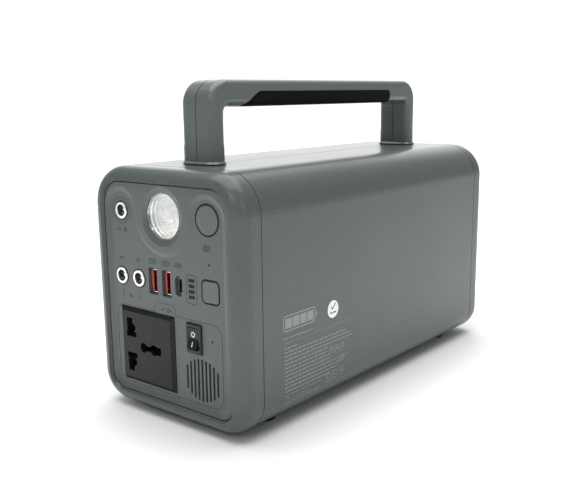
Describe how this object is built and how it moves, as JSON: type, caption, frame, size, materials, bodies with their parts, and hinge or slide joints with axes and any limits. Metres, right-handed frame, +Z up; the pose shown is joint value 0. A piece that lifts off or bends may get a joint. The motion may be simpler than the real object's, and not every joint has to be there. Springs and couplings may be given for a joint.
{
  "type": "portable power station",
  "caption": "Portable power station: a rounded box case with a fixed top carry handle, a front panel of outlets, a lamp, push buttons, a rocker switch and a fan vent.",
  "frame": {"origin": "centre of the bottom of the bounding box, on the surface the rubber feet stand on", "axes": "+X to the right seen from the front, +Y from the front panel to the rear cover, +Z up"},
  "size_m": [0.12, 0.275, 0.1936],
  "materials": {
    "case_grey": "satin moulded plastic, fine texture",
    "panel_grey": "satin moulded plastic",
    "rubber_black": "matt, dimpled on the grip",
    "clear_lens": "clear polished plastic",
    "bright_reflector": "bright, faceted",
    "white_board": "white solder mask",
    "led_yellow": "phosphor yellow",
    "black_plastic": "fine matt",
    "socket_black": "satin",
    "nickel_plate": "bright nickel",
    "red_plastic": "gloss red",
    "contact_brass": "bright",
    "smoke_window": "smoked",
    "board_green": "green solder mask",
    "screw_steel": "zinc plated",
    "white_plastic": "natural nylon",
    "tray_aluminium": "plain",
    "ferrite_grey": "matt ferrite",
    "winding_yellow": "taped copper winding",
    "can_sleeve": "dark blue sleeve",
    "lead_red": "soft insulation",
    "lead_grey": "soft insulation",
    "cell_wrap": "heat-shrink wrap"
  },
  "bodies": {
    "case": {"battery_board": "board_green", "battery_board_parts": "black_plastic", "battery_cells": "cell_wrap", "battery_leads": "lead_red", "battery_tray": "tray_aluminium", "board_pillars": "white_plastic", "board_posts": "white_plastic", "board_screws": "screw_steel", "capacitors": "can_sleeve", "cell_holders": "black_plastic", "charger_board": "board_green", "connecting_strips": "nickel_plate", "fan_frame": "black_plastic", "fan_screws": "screw_steel", "front_bezel": "case_grey", "front_panel": "panel_grey", "handle_gaskets": "rubber_black", "handle_grip": "rubber_black", "handle_left": "case_grey", "handle_right": "case_grey", "handle_screws": "screw_steel", "heat_sinks": "tray_aluminium", "indicator_leds": "led_yellow", "inductors": "winding_yellow", "inverter_board": "board_green", "jack_bodies": "black_plastic", "jack_pins": "nickel_plate", "jack_sleeves": "nickel_plate", "lamp_board": "white_board", "lamp_led": "led_yellow", "lamp_lens": "clear_lens", "lamp_reflector": "bright_reflector", "level_windows": "smoke_window", "panel_screws": "screw_steel", "port_board": "board_green", "rear_cover": "case_grey", "rubber_feet": "rubber_black", "shell_left": "case_grey", "shell_right": "case_grey", "socket_body": "socket_black", "socket_contacts": "contact_brass", "socket_face": "socket_black", "socket_leads": "lead_grey", "status_windows": "smoke_window", "switch_housing": "black_plastic", "switch_terminals": "contact_brass", "tact_switches": "black_plastic", "tie_bolts": "screw_steel", "transformer_core": "ferrite_grey", "transformer_winding": "winding_yellow", "transistors": "black_plastic", "usb_a_contacts": "contact_brass", "usb_a_inserts": "red_plastic", "usb_a_shells": "nickel_plate", "usb_c_shell": "nickel_plate", "usb_c_tongue": "black_plastic"},
    "light_button": {"light_button": "panel_grey"},
    "power_button": {"power_button": "panel_grey"},
    "switch_rocker": {"switch_rocker": "black_plastic"},
    "fan_rotor": {"fan_rotor": "black_plastic"}
  },
  "joints": [
    {"name": "light_button_press", "type": "slide", "parent": "case", "child": "light_button", "axis": [0, 1, 0], "range_m": [0, 0.001], "stiffness_N_per_m": 1500},
    {"name": "power_button_press", "type": "slide", "parent": "case", "child": "power_button", "axis": [0, 1, 0], "range_m": [0, 0.001], "stiffness_N_per_m": 1500},
    {"name": "rocker_tilt", "type": "hinge", "parent": "case", "child": "switch_rocker", "pos_m": [0.0212, -0.1339, 0.054], "axis": [1, 0, 0], "range_deg": [0, 18]},
    {"name": "fan_spin", "type": "hinge", "parent": "case", "child": "fan_rotor", "pos_m": [0.0263, -0.1257, 0.0307], "axis": [0, 1, 0], "continuous": true}
  ]
}
